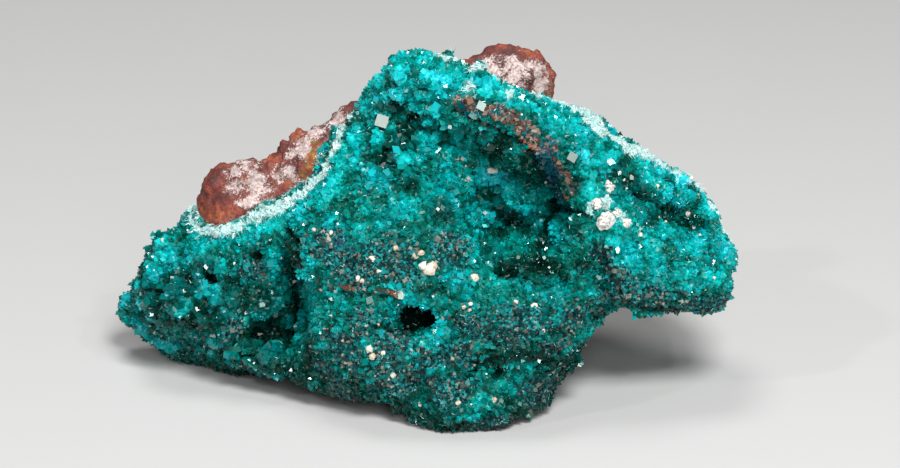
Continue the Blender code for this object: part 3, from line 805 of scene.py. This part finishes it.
def druse_ground(name, node, voxel, smoothing, sunk, places):
    """The shape of the druse's finest layer over a CAD node."""
    surface = ground(name, node, voxel, smoothing)
    points = surface.points
    from_rock = distances_to(places["rock"], points)
    others = tree_of(*(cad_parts[key] for key in DRUSE_NODES if key != node))
    from_others = distances_to(others, points)
    touching = 1 - smooth_step(*TOUCHING, np.minimum(from_rock, from_others))
    coarse = inside(points, places["coarse"], COARSE_FADE)
    crevice = inside(points, places["crevice"], CREVICE_FADE)
    masses = swelling(points, places["tree"])
    large = heaps(points, LARGE_HEAPS[0], 1)
    small = heaps(points, SMALL_HEAPS[0], 2)
    heights = -sunk + (LARGE_HEAPS[1] + COARSER * coarse) * large + SMALL_HEAPS[1] * small
    heights += relief(points, cloud, DRUSE_WAVES) + MASS_SHARE * masses - CREVICE_DEPTH * crevice
    surface.move(heights + (GAP_FILLING - heights) * touching)
    surface = Surface(surface.obj)
    surface.exposed = smooth_step(*CLEAR_OF_ROCK, from_rock) * smooth_step(*CLEAR_OF_OTHERS, from_others)
    surface.crevice = crevice
    surface.coarse = coarse
    # Painted light on the tops of the heaps and masses, and painted shade in the creases of coarse druse.
    top = np.clip(large * (0.35 + 0.65 * coarse) + 0.5 * masses, 0, 1)
    crease_shade = coarse * (1 - smooth_step(0.0, 0.3, large)) * (1 - smooth_step(0.1, 0.5, masses))
    surface.raised = 0.8 * np.clip(0.1 + 0.6 * top + 0.35 * small, 0, 1) - 0.2 * crease_shade
    return surface


def colour_ground(surface, places, seam_share, lift, slot, node):
    """Gives a ground its fields and its material, and puts it in a CAD node's place."""
    fields = druse_fields(surface.points, places, seam_share)
    fields["coarse"] = surface.coarse
    # The crevices are also painted darker, as painted shade, besides being cut in.
    fields["painted_shade"] = np.maximum(fields["painted_shade"], surface.crevice)
    fields["tint"] = np.clip(surface.raised + 0.45 * fields["tint"] + lift - 0.5 * surface.crevice, 0, 1)
    surface.store(fields)
    finish(surface.obj, skin_material(), slot, node)


# Spots of the rock.
POWDER_SPOTS = [
    (260, 182, 3.2, 2.2), (288, 172, 2.2, 1.2), (248, 202, 1.8, 1.0), (298, 150, 2.2, 1.6),
    (330, 122, 2.4, 1.2), (338, 115, 1.8, 1.2), (315, 132, 1.8, 1.4), (240, 168, 2.6, 1.4),
    (236, 188, 1.6, 1.4), (515, 76, 4.2, 2.6), (540, 70, 1.4, 1.6), (510, 62, 2.2, 1.4),
    (530, 66, 1.6, 1.0), (256, 165, 1.2, 0.6), (305, 142, 1.2, 1.0), (492, 70, 2.8, 1.8),
    (460, 62, 2.4, 1.2), (542, 84, 2.0, 1.8),
]
OCHRE_SPOTS = [(312, 150, 0.9, 1.2), (314, 165, 1.0, 1.2), (306, 175, 0.9, 0.8)]
# Powder guessed on the rock's back: the middle and the half sizes of each patch.
BACK_POWDER = [
    ((-5.0, 12.0, 17.0), (8.0, 5.0, 5.0)),
    ((9.0, 12.0, 13.0), (8.0, 5.0, 5.0)),
    ((-12.0, 12.0, 8.0), (6.0, 5.0, 5.0)),
]
BACK_POWDER_SHARE = 0.8
OCHRE_FADE = 0.3
ROCK_TOUCHING = (0.35, 1.2)


def rusty_rock(places):
    voxel, smoothing, sunk = ROCK_GROUND
    surface = ground("rusty_rock", "matrix", voxel, smoothing)
    points = surface.points
    heights = -sunk + relief(points, heaps, ROCK_HEAPS) + relief(points, cloud, ROCK_WAVES)
    touching = 1 - smooth_step(*ROCK_TOUCHING, distances_to(places["tree"], points))
    surface.move(heights + (GAP_FILLING - heights) * touching)
    behind = BACK_POWDER_SHARE * inside(surface.points, BACK_POWDER, 0.0)
    surface.store({
        "powder": np.maximum(inside(surface.points, places["powder"], 0.0), behind),
        "ochre": inside(surface.points, places["ochre"], OCHRE_FADE),
    })
    finish(surface.obj, matrix_material(), "matrix", "matrix")


# Layers of crystals: how many are tried, ranges of radius and stretch, and their disorder.
FINE_DRUSE = (13000, (0.1, 0.23), (1.1, 2.0), 0.45)
FINE_PIECES = 4  # how many pieces the fine druse is split into; each stays under 200,000 triangles
MEDIUM_DRUSE = (12000, (0.2, 0.4), (1.0, 1.7), 0.4)
COARSE_DRUSE = (5600, (0.28, 0.5), (1.0, 1.4), 0.3)
RUSTY_PLATES = (26000, (0.14, 0.4), (0.6, 1.1), 0.7)
DARK_BLADES = (16000, (0.25, 0.5), (0.1, 0.25), 1.2)
CENTRE_FINE = (12000, (0.09, 0.22), (1.0, 1.8), 0.4)
LOBE_FINE = (6000, *CENTRE_FINE[1:])
HOLLOW_COARSE = (260, (0.2, 0.4), (1.0, 1.6), 0.35)
SMALL_ONES = 1.6  # the power that makes most crystals small
DUSTY_SHRINK = 0.3
STANDING = (-0.4, 0.15)  # how far a crystal's middle stands out, as a share of its radius
TINT_SPREAD = 0.1


def crystal_layer(name, surface, template, material, share, layer, seed, slot="dioptase_crust"):
    tried, (smallest, largest), stretch, lean = layer
    rng = np.random.default_rng(seed)
    places, normals, fields = surface.scatter(tried, share, rng)
    total = len(places)
    radius = smallest + (largest - smallest) * rng.random(total) ** SMALL_ONES
    radius *= 1 - DUSTY_SHRINK * fields["dusty"]
    axes = normals + rng.normal(0, lean, (total, 3))
    length = radius * rng.uniform(*stretch, total)
    centres = places + normals * (radius * rng.uniform(*STANDING, total))[:, None]
    fields["tint"] = np.clip(fields["tint"] + rng.normal(0, TINT_SPREAD, total), 0, 1)
    fields["other"] = rng.random(total)
    scales = np.column_stack([radius, radius, length])
    obj = many(name, template, centres, axes, rng.uniform(0, FULL_TURN, total), scales, fields)
    finish(obj, material, slot)


# Layers of needles: how many are tried, ranges of width and length, and how far they rise.
PALE_NEEDLES = (100000, (0.02, 0.05), (0.2, 0.75), 0.25)
# White slivers: their whiteness is painted highlight, for the small glints across the druse.
GLINT_SLIVERS = (15000, (0.02, 0.04), (0.15, 0.5), 0.3)
CENTRE_GLINT_SLIVERS = (1600, (0.02, 0.045), (0.15, 0.4), 0.4)
LOBE_GLINT_SLIVERS = (1100, *CENTRE_GLINT_SLIVERS[1:])
NEEDLE_DISORDER = 0.3
NEEDLE_LIFT = 0.06
LEAST_RISE = 0.4  # as a share of the most


def lying_needles(name, surface, material, share, layer, seed, rock_tree=None):
    """Spikes that lie along a surface: away from the rock if its tree is given, and any way otherwise."""
    tried, widths, lengths, rise = layer
    rng = np.random.default_rng(seed)
    places, normals, fields = surface.scatter(tried, share, rng)
    total = len(places)
    ways = rng.normal(0, 1, (total, 3))
    if rock_tree is not None:
        nearest = np.array([rock_tree.find_nearest(Vector(place) * MM)[0] for place in places]) / MM
        outward = places - nearest
        ways = outward / np.linalg.norm(outward, axis=1, keepdims=True) + NEEDLE_DISORDER * ways
    ways -= normals * (ways * normals).sum(1)[:, None]
    ways /= np.linalg.norm(ways, axis=1, keepdims=True)
    width = rng.uniform(*widths, total)
    scales = np.column_stack([width, width, rng.uniform(*lengths, total)])
    axes = ways + normals * rng.uniform(rise * LEAST_RISE, rise, total)[:, None]
    # how white each is; on the slivers this white is painted glint
    whiteness = np.clip(rng.random(total) * 0.7 + 0.9 * fields["pale"] - 0.45, 0, 1)
    lifted = places + normals * NEEDLE_LIFT
    turns = rng.uniform(0, FULL_TURN, total)
    obj = many(name, needle(), lifted, axes, turns, scales, {"other": whiteness})
    finish(obj, material)


# Grains of cream calcite: the pixel of each in the photograph, and its radius.
GRAINS = [
    (429, 269, 0.5), (423, 266, 0.34), (433, 265, 0.34), (415, 256, 0.26), (421, 253, 0.24), (396, 248, 0.26),
    (372, 259, 0.24), (379, 271, 0.22), (358, 278, 0.28), (362, 281, 0.22), (474, 278, 0.36), (314, 230, 0.2),
    (331, 233, 0.2), (467, 166, 0.22), (468, 180, 0.24), (402, 295, 0.3), (322, 289, 0.24), (337, 291, 0.24),
    (534, 306, 0.3), (464, 307, 0.2), (470, 304, 0.2), (470, 310, 0.18), (369, 349, 0.28), (372, 356, 0.28),
    (383, 353, 0.24), (378, 324, 0.2), (393, 375, 0.26), (435, 332, 0.2), (494, 400, 0.24), (458, 403, 0.2),
    (420, 404, 0.22), (543, 331, 0.2), (516, 302, 0.2), (530, 418, 0.2), (263, 305, 0.24), (276, 314, 0.2),
    (235, 264, 0.16), (155, 332, 0.24), (141, 348, 0.2), (163, 240, 0.18), (631, 177, 0.18), (658, 186, 0.18),
    (688, 214, 0.2), (665, 222, 0.2), (658, 217, 0.16), (694, 227, 0.18), (700, 236, 0.18), (717, 222, 0.16),
    (640, 234, 0.2), (714, 278, 0.18), (385, 125, 0.4), (490, 168, 0.36),
]
ROSETTES = [(608, 187, 0.62), (597, 204, 0.56), (605, 220, 0.8), (616, 213, 0.42), (626, 222, 0.5)]


# Pale crystals whose pale colour is painted highlight for the glints on crystal faces: the pixel of each in
# the photograph, and its radius.
GLINT_RHOMBS = [
    (385, 125, 0.78), (490, 167, 0.66), (573, 155, 0.55), (450, 126, 0.22), (456, 158, 0.24),
    (463, 158, 0.22), (485, 214, 0.24), (490, 221, 0.22), (468, 178, 0.22), (440, 127, 0.2),
    (545, 258, 0.2), (560, 256, 0.2), (518, 258, 0.2), (525, 206, 0.2), (262, 305, 0.3), (275, 316, 0.26),
    (214, 234, 0.24), (483, 104, 0.55), (402, 296, 0.34), (604, 187, 0.2), (631, 178, 0.24),
    (599, 278, 0.24), (640, 228, 0.24), (436, 262, 0.2),
]


RHOMB_SEED = 51
TURNS_TRIED = 400
RHOMB_LIFT = 0.55  # as a share of the radius
RHOMB_STRETCH = (0.85, 1.2)
RHOMB_TINTS = (0.2, 0.9)


def glint_rhombs(tree, material):
    """Rhombs painted pale as glints, that each turn one face to where the photograph was taken from."""
    rng = np.random.default_rng(RHOMB_SEED)
    template = rhomb_crystal()
    corners = template[0][template[1][0]]
    face = np.cross(corners[1] - corners[0], corners[2] - corners[0])
    face /= np.linalg.norm(face)
    facing = np.array(BACKWARD)
    places, axes, turns, radii = [], [], [], []
    for across, down, radius in GLINT_RHOMBS:
        place, normal = hit(tree, across, down)
        if place is None:
            continue
        tried = rng.normal(0, 1, (TURNS_TRIED, 3))
        tried_turns = rng.uniform(0, FULL_TURN, TURNS_TRIED)
        towards = frames_along(tried, tried_turns) @ face @ facing
        best = int(np.argmax(np.abs(towards)))
        places.append(place + normal * RHOMB_LIFT * radius)
        axes.append(tried[best])
        turns.append(tried_turns[best])
        radii.append(radius * np.array((1.0, 1.0, rng.uniform(*RHOMB_STRETCH))))
    tints = {"other": rng.uniform(*RHOMB_TINTS, len(places))}
    places, axes, turns, radii = (np.array(values) for values in (places, axes, turns, radii))
    obj = many("glint_rhombs", template, places, axes, turns, radii, tints)
    finish(obj, material)


LUMP_STRETCH = (0.75, 1.2)
LUMP_BUMPS = 0.45  # their size, as a share of the radius
# A lump's subdivisions, how rough it is, and how far it is sunk, as a share of the radius.
GRAIN_FORM = (2, 0.5, 0.0)
ROSETTE_FORM = (4, 0.3, 0.2)


def lumps(name, entries, tree, material, form, seed):
    """Small rough balls that sit on the specimen at pixels of the photograph."""
    subdivisions, roughness, sunk = form
    rng = np.random.default_rng(seed)
    bm = bmesh.new()
    others = []
    for across, down, radius in entries:
        place, normal = hit(tree, across, down)
        if place is None:
            continue
        made = bmesh.ops.create_icosphere(bm, subdivisions=subdivisions, radius=radius * MM)["verts"]
        stretch = rng.uniform(*LUMP_STRETCH, 3)
        turn = Matrix.Rotation(rng.uniform(0, FULL_TURN), 3, Vector(rng.normal(0, 1, 3)))
        for vertex in made:
            at = vertex.co / (LUMP_BUMPS * radius * MM) + Vector((across, down, 0))
            wobble = 1 + roughness * noise.noise(at)
            vertex.co = turn @ Vector([vertex.co[i] * stretch[i] for i in range(3)]) * wobble
            vertex.co += Vector(place - normal * radius * sunk) * MM
        others.extend([rng.random()] * len(made))
    mesh = mesh_from(name, bm)
    set_attribute(mesh, "other", others)
    finish(linked(name, mesh), material)


ZONE_DEPTH = 3.0  # a zone's half size from front to back, apart from these
ZONE_DEPTHS = {"blue": 1.4, "rusty": 2.0, "salmon": 1.4, "pale": 1.4}


def dress_specimen():
    rock_tree = tree_of(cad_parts["matrix"])
    whole_tree = tree_of(*(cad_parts[node] for node in DRUSE_NODES))
    places = {
        "rock": rock_tree,
        "tree": whole_tree,
        "powder": zones_at(rock_tree, POWDER_SPOTS, ZONE_DEPTH),
        "ochre": zones_at(rock_tree, OCHRE_SPOTS, ZONE_DEPTH),
        "coarse": zones_at(whole_tree, COARSE_SPOTS, ZONE_DEPTH),
        "crevice": zones_at(whole_tree, CREVICE_SPOTS, ZONE_DEPTH),
    }
    rusty_rock(places)
    skin = druse_ground("druse_ground", "dioptase_crust", *SKIN_GROUND, places)
    centre = druse_ground("centre_hollow_ground", "centre_hollow_crystals", *HOLLOW_GROUND, places)
    lobe = druse_ground("lobe_hollow_ground", "lobe_hollow_crystals", *HOLLOW_GROUND, places)

    skin_tree = tree_of(skin.obj, centre.obj, lobe.obj)
    spots = {
        "dusty": DUSTY_SPOTS, "painted_shade": PAINTED_SHADE_SPOTS, "painted_light": PAINTED_LIGHT_SPOTS, "rusty": RUSTY_SPOTS,
        "ledge": LEDGE_SPOTS, "salmon": SALMON_SPOTS, "blue": BLUE_SPOTS, "pale": PALE_SPOTS,
    }
    for key, entries in spots.items():
        places[key] = zones_at(skin_tree, entries, ZONE_DEPTHS.get(key, ZONE_DEPTH))
    colour_ground(skin, places, 0.7, -0.1, "dioptase_crust", "dioptase_crust")
    # the centre hollow's lower lift paints it darker, as painted shade in the hollow
    colour_ground(centre, places, 0.0, -0.26, "hollow_crystals", "centre_hollow_crystals")
    colour_ground(lobe, places, 0.0, -0.1, "hollow_crystals", "lobe_hollow_crystals")
    grow_crystals(skin, centre, lobe)
    lay_needles(skin, centre, lobe, rock_tree)
    glint_rhombs(skin_tree, glint_crystal_material())
    lumps("cream_grains", GRAINS, skin_tree, grain_material(), GRAIN_FORM, 41)
    lumps("white_rosettes", ROSETTES, skin_tree, rosette_material(), ROSETTE_FORM, 42)


def grow_crystals(skin, centre, lobe):
    """The layers of crystals on the crust and in the two hollows."""
    druse = crystal_material("dioptase", transmission=0.2, roughness=0.12)
    clear = crystal_material("clear_dioptase", transmission=0.15, roughness=0.05)

    rhomb, prism = rhomb_crystal(), prism_crystal()
    even = skin.exposed
    coarse = even * np.clip(skin.fields["coarse"] - 0.8 * skin.fields["dusty"] - skin.fields["pale"], 0, 1)
    medium = even * np.clip(0.15 + coarse + 0.6 * skin.fields["dusty"], 0, 1)
    fine = even * (1 - 0.5 * coarse)
    for number in range(FINE_PIECES):
        crystal_layer(f"fine_druse_{number}", skin, rhomb, druse, fine, FINE_DRUSE, 20 + number)
    crystal_layer("medium_druse", skin, rhomb, druse, medium, MEDIUM_DRUSE, 31)
    crystal_layer("coarse_druse", skin, prism, druse, coarse, COARSE_DRUSE, 32)
    rusty = even * np.maximum(skin.fields["rusty"], 0.7 * skin.fields["salmon"])
    crystal_layer("rusty_plates", skin, rhomb, druse, rusty, RUSTY_PLATES, 33)
    crystal_layer("dark_blades", skin, prism, clear, 0.8 * even * skin.fields["blue"], DARK_BLADES, 38)
    for name, surface, small_ones, seed in (
        ("centre_hollow", centre, CENTRE_FINE, 34), ("lobe_hollow", lobe, LOBE_FINE, 36),
    ):
        share, slot = surface.exposed, "hollow_crystals"
        crystal_layer(f"{name}_fine", surface, rhomb, clear, share, small_ones, seed, slot)
        crystal_layer(f"{name}_coarse", surface, prism, clear, share, HOLLOW_COARSE, seed + 1, slot)


def lay_needles(skin, centre, lobe, rock_tree):
    """The pale needles along the seams, and the white slivers on the druse and in the two hollows, whose
    whiteness is painted highlight for small glints.
    """
    needle_and_glint_look = needle_and_glint_material()
    pale = np.clip(1.4 * skin.fields["pale"] - 0.05, 0, 1)
    lying_needles("pale_needles", skin, needle_and_glint_look, pale, PALE_NEEDLES, 61, rock_tree)
    lying_needles("glint_slivers", skin, needle_and_glint_look, 0.35 * skin.exposed, GLINT_SLIVERS, 62)
    lying_needles("centre_glint_slivers", centre, needle_and_glint_look, 0.8 * centre.exposed, CENTRE_GLINT_SLIVERS, 63)
    lying_needles("lobe_glint_slivers", lobe, needle_and_glint_look, 0.8 * lobe.exposed, LOBE_GLINT_SLIVERS, 64)


# ------------ the stage


FLOOR_HALF_SIZE = 1500.0
FLOOR_GREY = (0.52, 0.52, 0.515)


def make_floor():
    bm = bmesh.new()
    bmesh.ops.create_grid(bm, x_segments=1, y_segments=1, size=FLOOR_HALF_SIZE * MM)
    floor = linked("floor", mesh_from("floor", bm))
    look = Shading("pale_floor")
    look.set(Base_Color=FLOOR_GREY, Roughness=0.7)
    floor.data.materials.append(look.material)


# Each light: its name, its place and diameter in millimetres, and its power in watts.
LIGHTS = [
    ("key", (80, -260, 350), 150, 2.1),
    ("top", (-60, 90, 420), 170, 0.6),
    ("fill", (60, -420, 210), 200, 0.7),
    ("spark_left", (-240, -190, 260), 22, 0.2),
    ("spark_right", (170, -240, 300), 22, 0.2),
]
LIGHT_TARGET = Vector((0, 0, 12))
STUDIO_WHITE = (1.0, 1.0, 0.98, 1)
STUDIO_STRENGTH = 0.1


def make_light():
    for name, place, size, watts in LIGHTS:
        data = bpy.data.lights.new(name, "AREA")
        data.shape = "DISK"
        data.size = size * MM
        data.energy = watts
        light = linked(name, data)
        light.location = Vector(place) * MM
        aim = LIGHT_TARGET * MM - light.location
        light.rotation_euler = aim.to_track_quat("-Z", "Y").to_euler()
    world = bpy.data.worlds.new("studio")
    world.use_nodes = True
    background = world.node_tree.nodes["Background"]
    background.inputs["Color"].default_value = STUDIO_WHITE
    background.inputs["Strength"].default_value = STUDIO_STRENGTH
    bpy.context.scene.world = world
    bpy.context.scene.view_settings.view_transform = "Standard"


make_camera()
make_floor()
make_light()
dress_specimen()
